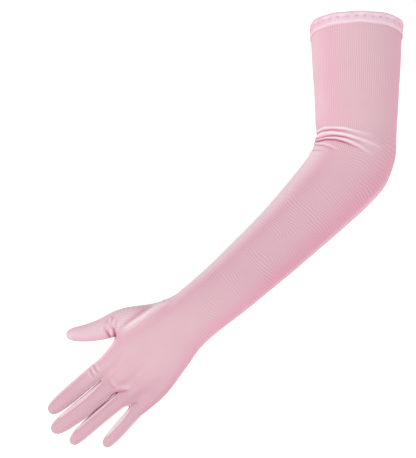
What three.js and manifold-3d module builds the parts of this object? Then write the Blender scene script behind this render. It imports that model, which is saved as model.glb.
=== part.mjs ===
// A long dress glove in fine stretch net, held as an arm fills it: upright upper sleeve,
// bent elbow, forearm slanting down to a flat hand seen from its back.
// Millimetres, +Z up. The origin is the centre of the opening at the top of the sleeve.
// +X runs towards the outer side of the elbow, and the back of the hand faces -Y.

import * as THREE from 'three';
import { mergeVertices } from 'three/addons/utils/BufferGeometryUtils.js';
import Module from 'manifold-3d';

const wasm = await Module();
wasm.setup();

const degrees = Math.PI / 180;

// Cloth
const clothWall = 1.0;
const seamGap = 0.3;
const hemHeight = 12;
const hemWall = 2.0;
const hemProud = 0.5;

// Sleeve and hand: lengths along the arm, and the width and depth of the cloth round it
const upperArmLength = 126;
const forearmLength = 206;
const palmLength = 117;
const openingWidth = 89;
const openingDepth = 84;
const elbowWidth = 77;
const elbowDepth = 72;
const wristWidth = 52.5;
const wristDepth = 38.5;
const palmWidth = 65.5;
const webDepth = 12.5;
const fingerLength = 69;
const fingerDepth = 16.2;

// How the arm is held
const upperArmLean = 13 * degrees;
const forearmReach = 6 * degrees;
const elbowTurn = 44.6 * degrees;

// Roundness of the cross-sections: 2 is an ellipse, more is squarer
const sleeveRoundness = 2.15;
const palmRoundness = 3.4;
const fingerRoundness = 2.3;

// Folds on the inner side of the elbow
const foldHeight = 1.7;
const foldWidth = 2.6;
const foldShareBehind = 0.55;

// Thumb
const thumbWidth = 16.6;
const thumbDepth = 16;
const thumbSeamTilt = -8 * degrees;

// Side strips between the fingers
const fourchetteWidth = 9.4;
const fourchetteReach = 0.86;
const fourchetteRoot = 3;

// Colours and roughness of the cloth
const netPink = 0xdcb6c1;
const stripPink = 0xf3dfe5;
const hemPink = 0xe6cad5;
const netRoughness = 0.72;
const doubledRoughness = 0.78;

// Shape of a side strip: at is the share of its reach up the finger, width the share of its
// full width, root the share of its short way back into the web.
const fourchetteProfile = [
  { at: 0, width: 1.0, root: 1 },
  { at: 0.06, width: 1.0, root: 0 },
  { at: 0.33, width: 1.0, root: 0 },
  { at: 0.52, width: 0.95, root: 0 },
  { at: 0.77, width: 0.85, root: 0 },
  { at: 0.95, width: 0.6, root: 0 },
  { at: 1.0, width: 0.35, root: 0 },
];

// Sides of the faceted rings, and the distance within which their points are one
const sleeveSides = 28;
const fingerSides = 12;
const thumbSides = 14;
const weldDistance = 1e-4;

// The wall inside a fingertip: how late its set-back from the tip begins, and the largest
// share of the tip's half size that it may take
const tipSetBackPower = 4;
const tipWallShare = 0.4;

// Sleeve sections. Each row lies on a leg of the arm: at is the share of that leg's length,
// turn the share of the elbow's turn, shift the sideways place as a share of the elbow width,
// width and depth the shares of the way from the size at the leg's start to that at its end,
// square the share of the way from the sleeve's roundness to the palm's, rings the number of
// steps to the next row.
const upperArmSections = [
  { at: 0.0, turn: 0.0, shift: 0.0, width: 0.0, depth: 0.0, square: 0.0, rings: 1 },
  { at: 0.14, turn: 0.0, shift: -0.002, width: 0.17, depth: 0.17, square: 0.0, rings: 1 },
  { at: 0.34, turn: 0.0, shift: -0.005, width: 0.38, depth: 0.38, square: 0.0, rings: 1 },
  { at: 0.52, turn: 0.0, shift: -0.01, width: 0.65, depth: 0.6, square: 0.0, rings: 1 },
  { at: 0.68, turn: 0.0, shift: -0.016, width: 0.83, depth: 0.8, square: 0.0, rings: 1 },
  { at: 0.78, turn: 0.0, shift: -0.022, width: 0.93, depth: 0.9, square: 0.0, rings: 3 },
  { at: 0.84, turn: 0.04, shift: -0.022, width: 1.05, depth: 0.96, square: 0.0, rings: 4 },
  { at: 0.903, turn: 0.12, shift: -0.022, width: 1.13, depth: 1.0, square: 0.0, rings: 4 },
];
const forearmSections = [
  { at: -0.009, turn: 0.3, shift: -0.05, width: 0.012, depth: 0.0, square: 0.0, rings: 3 },
  { at: 0.045, turn: 0.5, shift: 0.019, width: 0.0, depth: 0.0, square: 0.0, rings: 3 },
  { at: 0.095, turn: 0.7, shift: 0.064, width: -0.016, depth: 0.01, square: 0.0, rings: 3 },
  { at: 0.144, turn: 0.88, shift: 0.079, width: 0.086, depth: 0.04, square: 0.0, rings: 2 },
  { at: 0.204, turn: 1.0, shift: 0.092, width: 0.2, depth: 0.1, square: 0.0, rings: 2 },
  { at: 0.3, turn: 1.0, shift: 0.095, width: 0.335, depth: 0.22, square: 0.0, rings: 1 },
  { at: 0.39, turn: 1.0, shift: 0.097, width: 0.465, depth: 0.35, square: 0.0, rings: 1 },
  { at: 0.5, turn: 1.0, shift: 0.092, width: 0.6, depth: 0.5, square: 0.0, rings: 1 },
  { at: 0.6, turn: 1.0, shift: 0.084, width: 0.686, depth: 0.62, square: 0.0, rings: 1 },
  { at: 0.7, turn: 1.0, shift: 0.068, width: 0.776, depth: 0.73, square: 0.0, rings: 1 },
  { at: 0.8, turn: 1.0, shift: 0.053, width: 0.853, depth: 0.84, square: 0.0, rings: 1 },
  { at: 0.9, turn: 1.0, shift: 0.034, width: 0.92, depth: 0.94, square: 0.0, rings: 1 },
];
const palmSections = [
  { at: 0.0, turn: 1.0, shift: 0.003, width: 0.04, depth: 0.0, square: 0.0, rings: 1 },
  { at: 0.1, turn: 1.0, shift: -0.014, width: -0.02, depth: 0.06, square: 0.05, rings: 1 },
  { at: 0.2, turn: 1.0, shift: -0.028, width: -0.08, depth: 0.12, square: 0.1, rings: 1 },
  { at: 0.34, turn: 1.0, shift: -0.036, width: 0.14, depth: 0.21, square: 0.2, rings: 1 },
  { at: 0.46, turn: 1.0, shift: -0.036, width: 0.54, depth: 0.29, square: 0.3, rings: 1 },
  { at: 0.6, turn: 1.0, shift: -0.044, width: 0.98, depth: 0.4, square: 0.45, rings: 1 },
  { at: 0.75, turn: 1.0, shift: -0.043, width: 1.08, depth: 0.53, square: 0.65, rings: 1 },
  { at: 0.88, turn: 1.0, shift: -0.048, width: 1.0, depth: 0.7, square: 0.85, rings: 1 },
  { at: 1.0, turn: 1.0, shift: -0.061, width: 0.95, depth: 1.0, square: 1.0, rings: 1 },
];

// Elbow folds: at is the share of the upper arm's length where the ridge starts on the inner
// side, lift its height as a share of foldHeight, width its breadth as a share of foldWidth,
// reach how far it runs round the front, in degrees from the inner side.
const elbowFolds = [
  { at: 0.83, lift: 0.75, width: 1.0, reach: 95 },
  { at: 0.885, lift: 1.0, width: 1.0, reach: 118 },
  { at: 0.94, lift: 1.0, width: 0.9, reach: 125 },
  { at: 0.995, lift: 0.7, width: 0.9, reach: 70 },
  { at: 1.05, lift: 0.5, width: 0.9, reach: 45 },
];

// Fingers: across is the place on the web line and width the girth from side to side, as
// shares of the palm width; spread is the angle to the arm's line (positive to the outer side);
// length is the reach past the web line as a share of fingerLength; depth and lift, the place
// towards the back of the hand, are shares of fingerDepth; curl is the share of its length that
// the tip falls forward.
const fingers = [
  { across: -0.446, spread: -5.4, length: 0.84, width: 0.2565, depth: 0.975, lift: 0.0, curl: 0.1 },
  { across: -0.186, spread: -6.4, length: 1.0, width: 0.2656, depth: 1.0, lift: 0.062, curl: 0.1 },
  { across: 0.079, spread: -4.9, length: 0.935, width: 0.232, depth: 0.914, lift: 0.031, curl: 0.1 },
  { across: 0.327, spread: 3.3, length: 0.645, width: 0.2015, depth: 0.79, lift: -0.062, curl: 0.1 },
].map((row) => ({
  ...row,
  across: row.across * palmWidth,
  length: row.length * fingerLength,
  width: row.width * palmWidth,
  depth: row.depth * fingerDepth,
  lift: row.lift * fingerDepth,
}));

// Shape of a finger: at is the share of its length past the web line, girth the share of its
// full width and depth.
const fingerProfile = [
  { at: -0.42, girth: 0.84 },
  { at: -0.16, girth: 1.0 },
  { at: 0.05, girth: 1.02 },
  { at: 0.28, girth: 0.98 },
  { at: 0.45, girth: 0.98 },
  { at: 0.66, girth: 0.93 },
  { at: 0.82, girth: 0.85 },
  { at: 0.91, girth: 0.72 },
  { at: 0.965, girth: 0.52 },
  { at: 1.0, girth: 0.23 },
];

// Shape of the thumb: along is the share of the palm length from the wrist, across the share of
// the palm width, drop the depth towards the palm side as a share of the thumb depth, width and
// depth the shares of the thumb's width and depth.
const thumbProfile = [
  { along: 0.188, across: -0.15, drop: 0.2, width: 1.75, depth: 1.6 },
  { along: 0.335, across: -0.31, drop: 0.22, width: 1.78, depth: 1.62 },
  { along: 0.46, across: -0.505, drop: 0.22, width: 1.57, depth: 1.45 },
  { along: 0.607, across: -0.712, drop: 0.16, width: 1.2, depth: 1.17 },
  { along: 0.759, across: -0.856, drop: 0.1, width: 1.02, depth: 1.02 },
  { along: 0.869, across: -1.0, drop: 0.04, width: 0.92, depth: 0.92 },
  { along: 0.923, across: -1.069, drop: 0.0, width: 0.77, depth: 0.77 },
  { along: 0.957, across: -1.113, drop: 0.0, width: 0.52, depth: 0.52 },
  { along: 0.972, across: -1.132, drop: 0.0, width: 0.22, depth: 0.22 },
];

// The thumb's seam, from the wrist end to the web, in the shares of the thumb's table
const thumbSeam = {
  start: { along: 0.222, across: -0.472 },
  end: { along: 0.692, across: -0.602 },
};

// How steeply the thumb piece's edge leaves the web, between the thumb and the hand
const thumbWebSlope = 0.22;

// Direction of the arm, its outer side and the viewer's side, for a share of the elbow's turn
function armAxes(turnShare) {
  const turn = elbowTurn * turnShare;
  const forward = THREE.MathUtils.lerp(upperArmLean, forearmReach, turnShare);
  const along = new THREE.Vector3(
    -Math.sin(turn) * Math.cos(forward),
    -Math.sin(forward),
    -Math.cos(turn) * Math.cos(forward),
  );
  const across = new THREE.Vector3(Math.cos(turn), 0, -Math.sin(turn));
  const back = new THREE.Vector3().crossVectors(along, across);
  return { along, across, back };
}

const opening = new THREE.Vector3(0, 0, 0);
const elbow = opening.clone().addScaledVector(armAxes(0).along, upperArmLength);
const wrist = elbow.clone().addScaledVector(armAxes(1).along, forearmLength);
const hand = armAxes(1);

// A point of the hand: along from the wrist, across to the outer side, lift towards its back
function handPoint(along, across, lift) {
  return wrist.clone()
    .addScaledVector(hand.along, along)
    .addScaledVector(hand.across, across)
    .addScaledVector(hand.back, lift);
}

const legs = [
  {
    origin: opening, direction: armAxes(0).along, length: upperArmLength, rows: upperArmSections,
    widths: [openingWidth, elbowWidth], depths: [openingDepth, elbowDepth],
  },
  {
    origin: elbow, direction: hand.along, length: forearmLength, rows: forearmSections,
    widths: [elbowWidth, wristWidth], depths: [elbowDepth, wristDepth],
  },
  {
    origin: wrist, direction: hand.along, length: palmLength, rows: palmSections,
    widths: [wristWidth, palmWidth], depths: [wristDepth, webDepth],
  },
];

// The sections of the three legs, as places, turns and half sizes
function armKeys() {
  const keys = [];
  for (const leg of legs) {
    for (const row of leg.rows) {
      const axes = armAxes(row.turn);
      keys.push({
        centre: leg.origin.clone()
          .addScaledVector(leg.direction, leg.length * row.at)
          .addScaledVector(axes.across, elbowWidth * row.shift),
        turn: row.turn,
        halfWidth: THREE.MathUtils.lerp(leg.widths[0], leg.widths[1], row.width) / 2,
        halfDepth: THREE.MathUtils.lerp(leg.depths[0], leg.depths[1], row.depth) / 2,
        roundness: THREE.MathUtils.lerp(sleeveRoundness, palmRoundness, row.square),
        rings: row.rings,
      });
    }
  }
  return keys;
}

// Smooth value between b and c, with a and d as their outer neighbours
function smooth(a, b, c, d, t) {
  const t2 = t * t;
  const t3 = t2 * t;
  return 0.5 * (2 * b + (c - a) * t + (2 * a - 5 * b + 4 * c - d) * t2 + (3 * b - a - 3 * c + d) * t3);
}

// Height of the elbow folds at an angle round a section, for a distance down the inner side
function foldRelief(innerDistance, angle) {
  const reachShare = angle > Math.PI ? foldShareBehind : 1;
  const fromInner = Math.abs(Math.PI - angle) / degrees / reachShare;
  let relief = 0;
  for (const fold of elbowFolds) {
    const ridge = (innerDistance - fold.at * upperArmLength) / (foldWidth * fold.width);
    const fade = THREE.MathUtils.clamp(1 - fromInner / fold.reach, 0, 1);
    relief += foldHeight * fold.lift * Math.exp(-ridge * ridge) * Math.sqrt(fade);
  }
  return relief;
}

// All rings of the sleeve and palm
function armRings() {
  const keys = armKeys();
  const rings = [];
  let travelled = 0;
  let last = null;
  for (let k = 0; k < keys.length; k += 1) {
    const b = keys[k];
    const c = keys[Math.min(k + 1, keys.length - 1)];
    const a = keys[Math.max(k - 1, 0)];
    const d = keys[Math.min(k + 2, keys.length - 1)];
    const steps = k < keys.length - 1 ? b.rings : 1;
    for (let step = 0; step < steps; step += 1) {
      const t = step / steps;
      const centre = new THREE.Vector3(
        smooth(a.centre.x, b.centre.x, c.centre.x, d.centre.x, t),
        smooth(a.centre.y, b.centre.y, c.centre.y, d.centre.y, t),
        smooth(a.centre.z, b.centre.z, c.centre.z, d.centre.z, t),
      );
      if (last) travelled += centre.distanceTo(last);
      last = centre;
      rings.push({
        centre,
        ...armAxes(smooth(a.turn, b.turn, c.turn, d.turn, t)),
        halfWidth: smooth(a.halfWidth, b.halfWidth, c.halfWidth, d.halfWidth, t),
        halfDepth: smooth(a.halfDepth, b.halfDepth, c.halfDepth, d.halfDepth, t),
        roundness: smooth(a.roundness, b.roundness, c.roundness, d.roundness, t),
        travelled,
      });
    }
  }
  return rings;
}

// Closed body through rings of points, with a flat cap at each end
function loftRings(pointRings) {
  const positions = [];
  const sides = pointRings[0].length;
  for (const ring of pointRings) {
    for (const point of ring) positions.push(point.x, point.y, point.z);
  }
  const index = [];
  for (let r = 0; r < pointRings.length - 1; r += 1) {
    for (let s = 0; s < sides; s += 1) {
      const next = (s + 1) % sides;
      const a = r * sides + s;
      const b = r * sides + next;
      const c = (r + 1) * sides + next;
      const d = (r + 1) * sides + s;
      index.push(a, b, d, b, c, d);
    }
  }
  const caps = [
    { ring: pointRings[0], first: 0, flip: true },
    { ring: pointRings[pointRings.length - 1], first: (pointRings.length - 1) * sides, flip: false },
  ];
  for (const cap of caps) {
    const middle = new THREE.Vector3();
    for (const point of cap.ring) middle.addScaledVector(point, 1 / sides);
    const centre = positions.length / 3;
    positions.push(middle.x, middle.y, middle.z);
    for (let s = 0; s < sides; s += 1) {
      const a = cap.first + s;
      const b = cap.first + ((s + 1) % sides);
      if (cap.flip) index.push(centre, b, a);
      else index.push(centre, a, b);
    }
  }
  const geometry = new THREE.BufferGeometry();
  geometry.setAttribute('position', new THREE.Float32BufferAttribute(positions, 3));
  geometry.setIndex(index);
  return geometry;
}

// One ring of points round a section; angle 0 is its outer side and 90 degrees its back
function sectionRing(section, sides, inset, relief) {
  const points = [];
  const halfWidth = section.halfWidth - inset;
  const halfDepth = section.halfDepth - inset;
  for (let s = 0; s < sides; s += 1) {
    const angle = (s / sides) * 2 * Math.PI;
    const cos = Math.cos(angle);
    const sin = Math.sin(angle);
    const stretch = (Math.abs(cos) ** section.roundness + Math.abs(sin) ** section.roundness)
      ** (-1 / section.roundness);
    const raise = 1 + relief(angle) / Math.max(halfWidth, halfDepth);
    points.push(
      section.centre.clone()
        .addScaledVector(section.across, cos * stretch * halfWidth * raise)
        .addScaledVector(section.back, sin * stretch * halfDepth * raise),
    );
  }
  return points;
}

const noRelief = () => 0;

// Turn a closed geometry into a solid for joining and cutting
function toSolid(geometry) {
  const bare = geometry.clone();
  bare.deleteAttribute('normal');
  bare.deleteAttribute('uv');
  const merged = mergeVertices(bare, weldDistance);
  const solid = new wasm.Manifold(new wasm.Mesh({
    numProp: 3,
    vertProperties: new Float32Array(merged.attributes.position.array),
    triVerts: new Uint32Array(merged.index.array),
  }));
  return solid;
}

// Turn a solid back into a geometry
function toGeometry(solid) {
  const mesh = solid.getMesh();
  const geometry = new THREE.BufferGeometry();
  geometry.setAttribute('position', new THREE.BufferAttribute(new Float32Array(mesh.vertProperties), 3));
  geometry.setIndex(new THREE.BufferAttribute(new Uint32Array(mesh.triVerts), 1));
  geometry.computeVertexNormals();
  return geometry;
}

// The sleeve and palm as a full body, inset by a wall; extend lengthens its top
function armBody(inset, extend) {
  const rings = armRings();
  const last = rings.length - 1;
  const pointRings = rings.map((ring, r) => {
    let placed = ring;
    if (r === last) placed = { ...ring, centre: ring.centre.clone().addScaledVector(ring.along, -inset) };
    return sectionRing(placed, sleeveSides, inset,
      (angle) => foldRelief(ring.travelled, angle));
  });
  if (extend > 0) {
    const top = { ...rings[0], centre: rings[0].centre.clone().addScaledVector(rings[0].along, -extend) };
    pointRings.unshift(sectionRing(top, sleeveSides, inset, noRelief));
  }
  return toSolid(loftRings(pointRings));
}

// Sections of one finger
function fingerSections(finger) {
  const spread = finger.spread * degrees;
  const along = hand.along.clone().multiplyScalar(Math.cos(spread))
    .addScaledVector(hand.across, Math.sin(spread));
  const across = hand.across.clone().multiplyScalar(Math.cos(spread))
    .addScaledVector(hand.along, -Math.sin(spread));
  const root = handPoint(palmLength, finger.across, finger.lift);
  return fingerProfile.map((row) => {
    const past = Math.max(row.at, 0);
    const fall = finger.length * finger.curl * past * past;
    const bend = Math.atan(2 * finger.curl * past);
    const sectionAlong = along.clone().multiplyScalar(Math.cos(bend))
      .addScaledVector(hand.back, -Math.sin(bend));
    return {
      centre: root.clone()
        .addScaledVector(along, finger.length * row.at)
        .addScaledVector(hand.back, -fall),
      along: sectionAlong,
      across,
      back: new THREE.Vector3().crossVectors(sectionAlong, across),
      halfWidth: (finger.width * row.girth) / 2,
      halfDepth: (finger.depth * row.girth) / 2,
      roundness: fingerRoundness,
    };
  });
}

// Sections of the thumb
function thumbSections() {
  const centres = thumbProfile.map((row) => handPoint(
    row.along * palmLength,
    row.across * palmWidth,
    -row.drop * thumbDepth,
  ));
  return thumbProfile.map((row, k) => {
    const before = centres[Math.max(k - 1, 0)];
    const after = centres[Math.min(k + 1, centres.length - 1)];
    const along = after.clone().sub(before).normalize();
    const across = new THREE.Vector3().crossVectors(hand.back, along).normalize();
    return {
      centre: centres[k],
      along,
      across,
      back: new THREE.Vector3().crossVectors(along, across),
      halfWidth: (thumbWidth * row.width) / 2,
      halfDepth: (thumbDepth * row.depth) / 2,
      roundness: fingerRoundness,
    };
  });
}

// A finger or thumb as a full body, inset by a wall at its sides and its tip
function digitBody(sections, sides, inset) {
  const last = sections.length - 1;
  const pointRings = sections.map((section, k) => {
    const retreat = inset * (k / last) ** tipSetBackPower;
    const thickest = Math.min(section.halfWidth, section.halfDepth) * tipWallShare;
    const placed = { ...section, centre: section.centre.clone().addScaledVector(section.along, -retreat) };
    return sectionRing(placed, sides, Math.min(inset, thickest), noRelief);
  });
  return toSolid(loftRings(pointRings));
}

// The whole glove as a full body, inset by a wall
function gloveBody(inset, extend) {
  let body = armBody(inset, extend);
  for (const finger of fingers) {
    body = body.add(digitBody(fingerSections(finger), fingerSides, inset));
  }
  return body.add(digitBody(thumbSections(), thumbSides, inset));
}

// Block of four corners in the plane of the hand, through its whole depth, leaning by a tilt
function handBlock(corners, tilt, depth) {
  const rings = [-1, 1].map((side) => corners.map((corner) => handPoint(
    corner.along,
    corner.across + Math.tan(tilt) * side * depth,
    side * depth,
  )));
  return toSolid(loftRings(rings));
}

// Space of the thumb piece, past its seam line; grow widens it over the seam
function thumbSpace(grow) {
  const clear = palmWidth;
  const start = thumbSeam.start;
  const end = thumbSeam.end;
  const corners = [
    { along: start.along * palmLength - grow, across: -clear * 2 },
    { along: end.along * palmLength + clear, across: -clear * 2 },
    { along: end.along * palmLength + clear, across: end.across * palmWidth - clear * thumbWebSlope },
    { along: end.along * palmLength + grow, across: end.across * palmWidth + grow },
    { along: start.along * palmLength - grow, across: start.across * palmWidth + grow },
  ];
  return handBlock(corners, thumbSeamTilt, palmWidth);
}

// Space of the strip on one side of a finger (side 1 is its outer side)
function stripSpace(finger, side, grow) {
  const sections = fingerSections(finger);
  const pointRings = fourchetteProfile.map((row) => {
    const halfStrip = (fourchetteWidth * row.width) / 2 + grow;
    const rootShift = row.root * -fourchetteRoot / finger.length;
    const section = sectionAt(sections, row.at * fourchetteReach + rootShift);
    const corners = [
      [0, -halfStrip],
      [finger.width * side, -halfStrip],
      [finger.width * side, halfStrip],
      [0, halfStrip],
    ];
    if (side < 0) corners.reverse();
    return corners.map(([across, back]) => section.centre.clone()
      .addScaledVector(section.across, across)
      .addScaledVector(section.back, back));
  });
  return toSolid(loftRings(pointRings));
}

// Section of a finger at any share of its length, between the rows of its table
function sectionAt(sections, share) {
  let k = 0;
  while (k < fingerProfile.length - 2 && fingerProfile[k + 1].at < share) k += 1;
  const from = fingerProfile[k];
  const to = fingerProfile[k + 1];
  const t = (share - from.at) / (to.at - from.at);
  return {
    centre: sections[k].centre.clone().lerp(sections[k + 1].centre, t),
    across: sections[k].across,
    back: sections[k].back.clone().lerp(sections[k + 1].back, t).normalize(),
  };
}

// Space of the strip between two fingers, on the facing side of each
function fourchetteSpace(first, second, grow) {
  return stripSpace(first, 1, grow).add(stripSpace(second, -1, grow));
}

// Block round the hem: everything above a plane across the top of the sleeve
function topSpace(distance) {
  const axes = armAxes(0);
  const wide = openingWidth;
  const corners = [[-wide, -wide], [wide, -wide], [wide, wide], [-wide, wide]];
  const rings = [-wide, distance].map((along) => corners.map(([across, back]) => opening.clone()
    .addScaledVector(axes.along, along)
    .addScaledVector(axes.across, across)
    .addScaledVector(axes.back, back)));
  return toSolid(loftRings(rings));
}

// The doubled band at the top of the sleeve
function hemBand() {
  const rings = armRings().filter((ring) => ring.travelled < 2 * hemHeight);
  const outer = rings.map((ring) => sectionRing(ring, sleeveSides, -hemProud, noRelief));
  const inner = rings.map((ring) => sectionRing(ring, sleeveSides, hemWall - hemProud, noRelief));
  const above = rings[0].along.clone().multiplyScalar(-hemHeight);
  inner.unshift(inner[0].map((point) => point.clone().add(above)));
  return toSolid(loftRings(outer)).subtract(toSolid(loftRings(inner))).intersect(topSpace(hemHeight));
}

// A named piece of cloth in its colour
function clothPiece(name, solid, colour, roughness) {
  const material = new THREE.MeshStandardMaterial({
    color: new THREE.Color(colour), roughness, metalness: 0, side: THREE.DoubleSide,
  });
  const mesh = new THREE.Mesh(toGeometry(solid), material);
  mesh.name = name;
  return mesh;
}

const shell = gloveBody(0, 0).subtract(gloveBody(clothWall, hemHeight));
const fourchettePairs = [
  { name: 'fourchette_index_middle', first: fingers[0], second: fingers[1] },
  { name: 'fourchette_middle_ring', first: fingers[1], second: fingers[2] },
  { name: 'fourchette_ring_little', first: fingers[2], second: fingers[3] },
];

let trank = shell.subtract(topSpace(hemHeight + seamGap)).subtract(thumbSpace(seamGap));
for (const pair of fourchettePairs) {
  trank = trank.subtract(fourchetteSpace(pair.first, pair.second, seamGap));
}

const glove = new THREE.Group();
glove.name = 'glove';
glove.add(clothPiece('top_hem', hemBand(), hemPink, doubledRoughness));
glove.add(clothPiece('arm_and_hand', trank, netPink, netRoughness));
glove.add(clothPiece('thumb', shell.intersect(thumbSpace(0)), netPink, netRoughness));
for (const pair of fourchettePairs) {
  const strip = shell.intersect(fourchetteSpace(pair.first, pair.second, 0));
  glove.add(clothPiece(pair.name, strip, stripPink, netRoughness));
}

export default glove;
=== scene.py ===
"""Long dress glove in fine pink stretch net, held in its worn form.

Metres, +Z up. The origin is the centre of the arm opening. The back of the hand faces -Y.
Shapes are worked out in millimetres and scaled where a mesh is made.
"""

import math

import bmesh
import bpy
import numpy as np
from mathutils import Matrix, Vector


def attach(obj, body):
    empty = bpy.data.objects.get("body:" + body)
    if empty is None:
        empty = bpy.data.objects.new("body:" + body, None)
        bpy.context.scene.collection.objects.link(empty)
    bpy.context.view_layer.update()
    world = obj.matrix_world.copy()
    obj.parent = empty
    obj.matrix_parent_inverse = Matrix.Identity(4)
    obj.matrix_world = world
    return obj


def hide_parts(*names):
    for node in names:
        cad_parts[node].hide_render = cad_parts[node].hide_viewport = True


MM = 0.001

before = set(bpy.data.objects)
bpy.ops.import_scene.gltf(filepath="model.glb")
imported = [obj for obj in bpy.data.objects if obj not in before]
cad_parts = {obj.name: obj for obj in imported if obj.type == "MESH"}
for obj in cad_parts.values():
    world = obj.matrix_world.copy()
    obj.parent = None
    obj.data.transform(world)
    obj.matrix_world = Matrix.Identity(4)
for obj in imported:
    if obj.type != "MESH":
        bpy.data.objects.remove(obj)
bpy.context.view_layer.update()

# Lengths along the arm, and the width and depth of the cloth round it
UPPER_ARM_LENGTH = 126
FOREARM_LENGTH = 206
PALM_LENGTH = 117
OPENING_SIZE = (89, 84)
ELBOW_SIZE = (77, 72)
WRIST_SIZE = (52.5, 38.5)
WEB_SIZE = (65.5, 12.5)
UPPER_ARM_LEAN = math.radians(13)
FOREARM_REACH = math.radians(6)
ELBOW_TURN = math.radians(44.6)
SLEEVE_ROUNDNESS = 2.15
PALM_ROUNDNESS = 3.4
FINGER_ROUNDNESS = 2.3

# Cloth
NET_WALL = 0.9
HEM_FRONT_HEIGHT = 11.6
HEM_SIDE_HEIGHT = 13.8

# Columns of the mesh round the sleeve, a finger and the thumb
ARM_COLUMNS = 40
FINGER_COLUMNS = 16
THUMB_COLUMNS = 24
SMOOTHING_LEVELS = 2

# Sleeve sections: share of the leg's length, share of the elbow's turn, sideways shift, width
# and depth shares, share of the way to the palm's roundness, rings to the next row
UPPER_ARM_ROWS = [
    (0.085, 0.0, 0.0, 0.1, 0.1, 0.0, 1),
    (0.14, 0.0, -0.002, 0.17, 0.17, 0.0, 3),
    (0.34, 0.0, -0.005, 0.38, 0.38, 0.0, 3),
    (0.52, 0.0, -0.01, 0.65, 0.6, 0.0, 3),
    (0.68, 0.0, -0.016, 0.83, 0.8, 0.0, 4),
    (0.78, 0.0, -0.022, 0.93, 0.9, 0.0, 3),
    (0.84, 0.04, -0.022, 1.05, 0.96, 0.0, 3),
    (0.903, 0.12, -0.022, 1.13, 1.0, 0.0, 4),
]
FOREARM_ROWS = [
    (-0.009, 0.3, -0.05, 0.012, 0.0, 0.0, 4),
    (0.045, 0.5, 0.019, 0.0, 0.0, 0.0, 3),
    (0.095, 0.7, 0.064, -0.016, 0.01, 0.0, 2),
    (0.144, 0.88, 0.079, 0.086, 0.04, 0.0, 2),
    (0.204, 1.0, 0.092, 0.2, 0.1, 0.0, 2),
    (0.3, 1.0, 0.095, 0.335, 0.22, 0.0, 2),
    (0.39, 1.0, 0.097, 0.465, 0.35, 0.0, 2),
    (0.5, 1.0, 0.092, 0.6, 0.5, 0.0, 2),
    (0.6, 1.0, 0.084, 0.686, 0.62, 0.0, 2),
    (0.7, 1.0, 0.068, 0.776, 0.73, 0.0, 2),
    (0.8, 1.0, 0.053, 0.853, 0.84, 0.0, 2),
    (0.9, 1.0, 0.034, 0.92, 0.94, 0.0, 2),
]
PALM_ROWS = [
    (0.0, 1.0, 0.003, 0.04, 0.0, 0.0, 2),
    (0.12, 1.0, -0.016, -0.03, 0.07, 0.05, 1),
    (0.222, 1.0, -0.028, -0.06, 0.13, 0.1, 1),
    (0.281, 1.0, -0.032, 0.02, 0.17, 0.15, 1),
    (0.34, 1.0, -0.036, 0.14, 0.21, 0.2, 1),
    (0.398, 1.0, -0.036, 0.34, 0.25, 0.25, 1),
    (0.457, 1.0, -0.036, 0.54, 0.29, 0.3, 1),
    (0.516, 1.0, -0.04, 0.74, 0.33, 0.36, 1),
    (0.575, 1.0, -0.043, 0.92, 0.38, 0.42, 1),
    (0.633, 1.0, -0.0395, 1.084, 0.43, 0.5, 1),
    (0.692, 1.0, -0.035, 1.178, 0.48, 0.58, 1),
    (0.75, 1.0, -0.037, 1.318, 0.53, 0.65, 1),
    (0.82, 1.0, -0.032, 1.292, 0.62, 0.76, 1),
    (0.89, 1.0, -0.033, 1.18, 0.72, 0.88, 1),
    (0.95, 1.0, -0.0385, 1.165, 0.84, 0.94, 1),
]

# Fingers: place across the web line and past it, spread in degrees, length, width, depth, lift
# to the back, roll in degrees that turns the thumb side to the back, and bow to the outer side
FINGERS = {
    "index": dict(across=-29.6, spread=-5.1, length=58, width=15.8, depth=15.6, lift=0.0, roll=14, bow=0.0),
    "middle": dict(across=-12.2, spread=-6.6, length=69, width=17.8, depth=16.4, lift=0.7, roll=12, bow=1.0),
    "ring": dict(across=5.2, spread=-4.7, length=64.5, width=14.6, depth=14.8, lift=0.5, roll=12, bow=-1.2),
    "little": dict(across=21.9, spread=2.7, length=44.5, width=13.2, depth=12.8, lift=-0.9, roll=17, bow=0.0),
}
FINGER_CURL = 0.1
FINGER_ROWS = [
    (0.07, 1.0, 1.0),
    (0.15, 1.0, 1.0),
    (0.26, 0.985, 1.0),
    (0.37, 0.98, 1.0),
    (0.48, 0.985, 0.96),
    (0.59, 0.96, 0.9),
    (0.7, 0.92, 0.82),
    (0.79, 0.88, 0.7),
    (0.87, 0.8, 0.5),
    (0.93, 0.68, 0.6),
    (0.97, 0.5, 0.9),
]
STRIP_END_ROW = 8
STRIP_HALF_ANGLE = 42
WEB_HEIGHTS = (0.56, 0.3, 0.0, -0.3, -0.6)
WEB_REACH = (0.0, 1.4, 2.4, 2.4, 1.6)
WEB_START = (1.5, -2.0, -1.2)

# Thumb seam: places along and across the hand and towards its back, wrist end first
THUMB_SEAM_BACK = [
    (26, -30.4, 4.0),
    (33, -32.6, 6.4),
    (40, -33.8, 7.8),
    (47, -34.9, 8.6),
    (53.4, -36.2, 8.8),
    (60, -37.6, 8.4),
    (67, -39.0, 7.6),
    (74, -40.0, 6.2),
    (81, -40.0, 4.2),
]
THUMB_SEAM_PALM = [
    (26, -29.0, -12.0),
    (33, -30.0, -14.2),
    (40, -31.0, -15.6),
    (47, -32.0, -16.2),
    (53.5, -33.0, -16.2),
    (60, -34.4, -15.6),
    (67, -36.0, -14.0),
    (74, -37.6, -12.0),
    (81, -38.4, -8.8),
]
THUMB_SEAM_WRIST = [(26, -31.8, 0.2), (26, -32.3, -4.0), (26, -31.2, -8.4)]
THUMB_SEAM_WEB = [(81.9, -40.2, 1.2), (82.1, -40.3, -2.2), (81.7, -39.6, -5.6)]

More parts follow.
